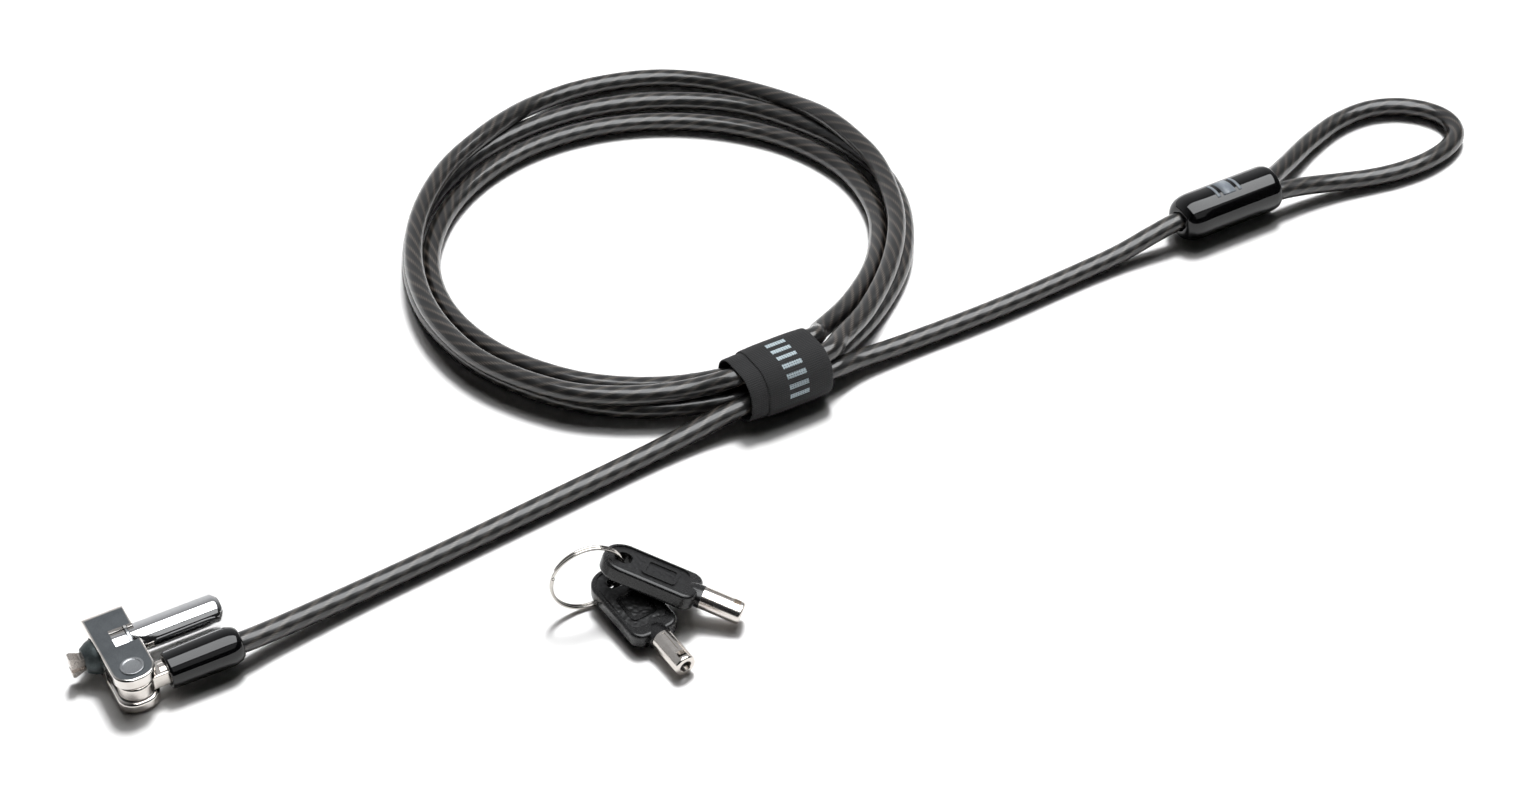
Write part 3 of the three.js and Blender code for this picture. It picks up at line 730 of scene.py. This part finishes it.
def make_ferrule():
    low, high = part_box("loop_ferrule")
    length = (high.x - low.x) / MM
    half, squash = (high.y - low.y) / 2 / MM, (high.z - low.z) / (high.y - low.y)
    place = Matrix.Translation((low.x, centre("loop_ferrule").y, centre("loop_ferrule").z))
    place = place @ Matrix.Diagonal((1, 1, squash, 1))
    end = length
    outer = [
        (0.0, 0), (0, half - 3.6), (0.12, half - 2.9), (0.5, half - 2.1), (1.2, half - 1.3),
        (2.3, half - 0.65),
        (3.8, half - 0.22), (5.6, half - 0.04), (8, half), (end - 2.6, half), (end - 1.5, half - 0.08),
        (end - 0.7, half - 0.28), (end - 0.25, half - 0.55), (end, half - 1.0), (end, 0)]
    # One body: the front socket and the rear mouth are sunk into it.
    body = turned(outer, place, 96)
    flat = Matrix.Translation((0, centre("loop_ferrule").y, centre("loop_ferrule").z))
    front, rear, along_x = low.x / MM, high.x / MM, flat @ ALONG_X
    socket = turned([(front - 1, 0), (front - 1, 3.05), (front + 9, 3.05), (front + 9, 0)], flat, 48)
    mouth = prism(rounded((-6.3, -3.05), (6.3, 3.05), 3, steps=10), rear - 20, rear + 1, along_x)
    chamber = prism(rounded((-6.5, -3.7), (6.5, 3.7), 3.6, steps=10), front + 7, rear - 3.5, along_x)
    mesh = solid(body, [("DIFFERENCE", socket), ("DIFFERENCE", mouth), ("DIFFERENCE", chamber)])
    ferrule = add_object(
        "ferrule_sleeve", shaded(mesh, 40), black, "cable", "loop_ferrule", slot="gloss_black")

    # Pale bars printed on the sleeve's upper side.
    points, faces = [], []
    across, above = 16, half + 0.03
    for span in ((11.6, 12.6), (13.8, 18.2), (19.4, 20.4)):
        first = len(points)
        for x in span:
            for k in range(across + 1):
                a = math.radians(64 + 52 * k / across)
                points.append(place @ (Vector((x, above * math.cos(a), above * math.sin(a))) * MM))
        for k in range(first, first + across):
            faces.append([k, k + 1, across + 2 + k, across + 1 + k])
    marks = add_object("ferrule_marks", mesh_of(points, faces), printed, "cable", slot="gloss_black")
    thick = marks.modifiers.new("thick", "SOLIDIFY")
    thick.thickness, thick.offset = 0.00004, 1
    return ferrule, marks


cable, cable_line, cable_exit = make_cable()
loop, loop_line = make_loop()
ferrule, ferrule_marks = make_ferrule()


# ---- tie ------------------------------------------------------------------------------------
def band(name, node, thickness, radius, bow, material):
    """One layer of the tie: a closed band with softly rounded edges, bowed a little outwards."""
    low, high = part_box(node)
    half_y, half_z = (high.y - low.y) / 2 / MM, (high.z - low.z) / 2 / MM
    width = (high.x - low.x) / MM
    middle = (low + high) / 2
    outline = rounded((-half_y, -half_z), (half_y, half_z), radius, steps=12)
    # More points on the flats, so that they can bow.
    dense = []
    for i, (y, z) in enumerate(outline):
        ny, nz = outline[(i + 1) % len(outline)]
        parts = max(1, round(math.hypot(ny - y, nz - z) / 0.7))
        dense += [(y + (ny - y) * k / parts, z + (nz - z) * k / parts) for k in range(parts)]
    count = len(dense)
    walls = np.array(dense)
    steps = np.linalg.norm(np.roll(walls, -1, 0) - walls, axis=1)
    along = np.concatenate([[0], np.cumsum(steps)]) * MM
    # Across the band: outer face, rounded edge, inner face, rounded edge.
    edge = thickness / 2
    across = [(-width / 2 + edge + (width - 2 * edge) * k / 14, 0) for k in range(15)]
    turns = (0.6, 1.2, 1.94, 2.5)
    across += [(width / 2 - edge + edge * math.sin(a), edge - edge * math.cos(a)) for a in turns]
    across += [(width / 2 - edge - (width - 2 * edge) * k / 6, thickness) for k in range(7)]
    across += [(-width / 2 + edge - edge * math.sin(a), edge + edge * math.cos(a)) for a in turns]
    tangents = np.roll(walls, -1, 0) - np.roll(walls, 1, 0)
    normals = np.stack([tangents[:, 1], -tangents[:, 0]], 1)
    normals /= np.linalg.norm(normals, axis=1)[:, None]
    points, faces, uvs = [], [], []
    for i in range(count):
        for x, depth in across:
            rim = bow * (abs(2 * x / width)) ** 3
            y, z = walls[i] - normals[i] * (depth + rim)
            points.append(middle + Vector((x, y, z)) * MM)
    rows = len(across)
    for i in range(count):
        for k in range(rows):
            j, m = (i + 1) % count, (k + 1) % rows
            faces.append([i * rows + k, j * rows + k, j * rows + m, i * rows + m])
            v, w = (across[k][0] + width / 2) * MM, (across[m][0] + width / 2) * MM
            uvs += [(along[i], v), (along[i + 1], v), (along[i + 1], w), (along[i], w)]
    mesh = mesh_of(points, faces)
    layer = mesh.uv_layers.new(name="lay")
    layer.data.foreach_set("uv", [c for uv in uvs for c in uv])
    outward(mesh)
    return add_object(name, mesh, material, "cable", node, slot="tie_fabric")


band("tie_outer_layer", "strap_outer", 0.6, 7.4, 0.25, tie_marked)
band("tie_inner_layer", "strap_inner", 0.55, 6.7, 0.15, tie_plain)


# ---- keys and ring --------------------------------------------------------------------------
RING_CENTRE = Vector((0.1072, -0.02755, 0.0101))
RING_HEADING = math.radians(-8.2)
KEY_PLACES = {
    "key_1": ((0.1162, -0.0291, 0.0116), -48.4, 15, -17),
    "key_2": ((0.1143, -0.0285, 0.0043), -86.6, 2.3, 0),
}


def key_place(name):
    eye, *angles = KEY_PLACES[name]
    heading, dip, roll = (math.radians(angle) for angle in angles)
    turn = Matrix.Rotation(heading, 4, "Z") @ Matrix.Rotation(dip, 4, "Y") @ Matrix.Rotation(roll, 4, "X")
    return Matrix.Translation(eye) @ turn


KEY_HALF = 2.2  # half a key head's thickness
PANEL_END = 16.6  # the recessed panel's end towards the tube


def key_head_mesh(place):
    half = KEY_HALF
    slab = pillow(rounded((-5.3, -6.5), (20.2, 6.5), 5.7, 3.4, 12), -half, half, 1.0, place)
    collar = turned([(15.5, 0), (15.5, 1.6), (17.5, 2.7), (18.6, 3.2), (21.3, 3.3), (21.3, 0)],
                    place @ Matrix.Diagonal((1, 1, 0.85, 1)), 48)
    panels = [
        ("DIFFERENCE", prism(rounded((-4.0, -5.2), (PANEL_END, 5.2), 4.5, 2.4, 10), *span, place))
        for span in ((half - 0.4, half + 1), (-half - 1, -half + 0.4))]
    frames = []
    for span in ((half - 0.5, half - 0.08), (-half + 0.08, -half + 0.5)):
        outer = prism(rounded((5.2, -3.6), (14.2, 3.6), 1.2, steps=5), min(span), max(span), place)
        window = rounded((6.1, -2.7), (13.3, 2.7), 0.6, steps=5)
        inner = prism(window, min(span) - 0.1, max(span) + 0.1, place)
        frames.append(("UNION", solid(outer, [("DIFFERENCE", inner)])))
    hole = rounded((-1.9, -2.6), (1.9, 2.6), 1.85, steps=8)
    eye = ("DIFFERENCE", prism(hole, -half - 1, half + 1, place))
    ring_room = ("DIFFERENCE", ring_band(1.0))
    mesh = solid(slab, [*panels, ("UNION", collar), *frames, eye, ring_room])
    return shaded(mesh, 34)


def ring_band(half_wire):
    """The split ring's own space, as a plain ring."""
    turn = Matrix.Translation(RING_CENTRE) @ Matrix.Rotation(RING_HEADING, 4, "Z")
    turn = turn @ Matrix.Rotation(math.pi / 2, 4, "Z")
    radius = (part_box("split_ring")[1].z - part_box("split_ring")[0].z) / 2 / MM - 0.55
    profile = [
        (-half_wire, radius - half_wire), (-half_wire, radius + half_wire),
        (half_wire, radius + half_wire), (half_wire, radius - half_wire)]
    return turned(profile, turn, 96, True)


def make_keys():
    for name in KEY_PLACES:
        place = key_place(name)
        mesh = key_head_mesh(place)
        head = add_object(name + "_handle", mesh, key_border, name, name + "_head", slot="key_plastic")
        head.data.materials.append(key_panel)
        back = place.inverted()
        up = (place.to_3x3() @ Z).normalized()
        for face in head.data.polygons:
            spot = back @ face.center / MM
            recessed = abs(spot.z) < KEY_HALF - 0.3 and spot.x < PANEL_END
            if recessed and abs(face.normal.dot(up)) > 0.97:
                face.material_index = 1
        tube = turned([
            (21.3, 0), (21.3, 2.9), (31.4, 2.9), (31.7, 2.82), (31.92, 2.65), (32, 2.4), (32, 1.62),
            (31.9, 1.52), (31.7, 1.5), (24.5, 1.5), (24.5, 0)], place, 64)
        notch = prism(rounded((29, -1.1), (30.8, 1.1), 0.15, steps=2), 0.4, 4, place)
        rib = prism(rounded((22, -0.25), (28.2, 0.25), 0.1, steps=2), 2.65, 4, place)
        mesh = solid(tube, [("DIFFERENCE", notch), ("DIFFERENCE", rib)])
        add_object(name + "_barrel", shaded(mesh, 35), nickel, name, name + "_tube", slot="nickel")


def make_ring():
    """Two turns of wire side by side, lifting over at the ends."""
    radius = (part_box("split_ring")[1].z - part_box("split_ring")[0].z) / 2 / MM - 0.55
    turn = Matrix.Translation(RING_CENTRE) @ Matrix.Rotation(RING_HEADING, 4, "Z")
    line = []
    start = math.radians(160)
    steps = 220
    for i in range(steps + 1):
        t = i / steps
        a = start + t * 4 * math.pi * 0.985
        side = -0.38 + 0.76 * smoothstep(t, 0.44, 0.56)
        line.append(turn @ (Vector((radius * math.cos(a), side, radius * math.sin(a))) * MM))
    add_object("ring_wire", sweep(line, 0.40 * MM, 12), ring_steel, "ring", "split_ring", slot="nickel")


make_keys()
make_ring()


# ---- pieces kept from the CAD model ---------------------------------------------------------
def dress(material, *names):
    for name in names:
        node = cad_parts[name]
        node.data.materials.clear()
        node.data.materials.append(material)


dress(chrome, "pivot_pin")
dress(satin_steel, "retaining_clip", "crimp_sleeve", "loop_crimp")
dress(brass, "lock_plug", "drive_spindle", "plug_retainer")
dress(nickel, "keyway_post")
for pin in range(1, 6):
    dress(nickel, f"key_pin_{pin}", f"pin_spring_{pin}")


# ---- stage and light ------------------------------------------------------------------------
def make_floor():
    n = Nodes("floor")
    tone = n.ramp(n.noise(3, 2), (0.3, rgba(0.9, 0.9, 0.9)), (0.7, rgba(0.92, 0.92, 0.92)))
    n.set(Base_Color=tone, Roughness=1.0)
    n.shader.inputs["Specular IOR Level"].default_value = 0
    size = 6
    corners = [(-size, -size, 0), (size, -size, 0), (size, size, 0), (-size, size, 0)]
    floor = add_object("floor", mesh_of(corners, [[0, 1, 2, 3]]), n.material, None)
    floor.location = (0.2, 0.05, -0.0002)


def make_world():
    """Studio walls, seen only in reflections: pale behind the object, dark in front of it."""
    world = bpy.data.worlds.new("studio")
    bpy.context.scene.world = world
    world.use_nodes = True
    tree = world.node_tree
    direction = tree.nodes.new("ShaderNodeTexCoord").outputs["Generated"]
    parts = tree.nodes.new("ShaderNodeSeparateXYZ")
    shift = tree.nodes.new("ShaderNodeMath")
    shift.operation = "MULTIPLY_ADD"
    shift.inputs[1].default_value, shift.inputs[2].default_value = 0.5, 0.5
    ramp = tree.nodes.new("ShaderNodeValToRGB")
    tree.links.new(direction, parts.inputs[0])
    tree.links.new(parts.outputs[1], shift.inputs[0])
    tree.links.new(shift.outputs[0], ramp.inputs[0])
    elements = ramp.color_ramp.elements
    elements[0].position, elements[0].color = 0.3, rgba(0.015, 0.015, 0.016)
    elements[1].position, elements[1].color = 1.0, rgba(0.75, 0.76, 0.78)
    middle = elements.new(0.62)
    middle.color = rgba(0.2, 0.205, 0.21)
    background = tree.nodes["Background"]
    tree.links.new(ramp.outputs[0], background.inputs["Color"])
    background.inputs["Strength"].default_value = 1.0
    world.cycles_visibility.diffuse = False


def add_light(name, kind, place, target, energy, color=(1, 1, 1), **settings):
    data = bpy.data.lights.new(name, kind)
    data.energy, data.color = energy, color
    for key, value in settings.items():
        setattr(data, key, value)
    light = bpy.data.objects.new(name, data)
    bpy.context.collection.objects.link(light)
    light.location = place
    light.rotation_euler = (Vector(target) - Vector(place)).to_track_quat("-Z", "Y").to_euler()
    return light


def make_lights():
    middle = Vector((0.2, 0.05, 0))
    for name, energy, spread in (("back_key", 3.3, 13), ("back_fill", 1.7, 46)):
        place = middle + Vector((0.5, 0.62, 1.4))
        sun = add_light(name, "SUN", place, middle, energy, angle=math.radians(spread))
        sun.visible_glossy = False
    # Two panels in one ceiling plane: a bright one overhead, a dim one reaching down in front.
    panels = (("overhead_panel", -0.75, 0.25, 5.5), ("front_panel", -2.2, -0.85, 0.45))
    for name, near, far, radiance in panels:
        size_y, size_x = far - near, 1.5
        place = middle + Vector((0.35, (near + far) / 2, 1))
        energy = radiance * math.pi * size_x * size_y
        panel = add_light(
            name, "AREA", place, middle, energy, shape="RECTANGLE", size=size_x, size_y=size_y,
            color=(0.97, 0.985, 1.0))
        panel.rotation_euler = (0, 0, 0)
        panel.visible_diffuse = False


make_floor()
make_world()
make_lights()
bpy.context.scene.view_settings.view_transform = "Standard"
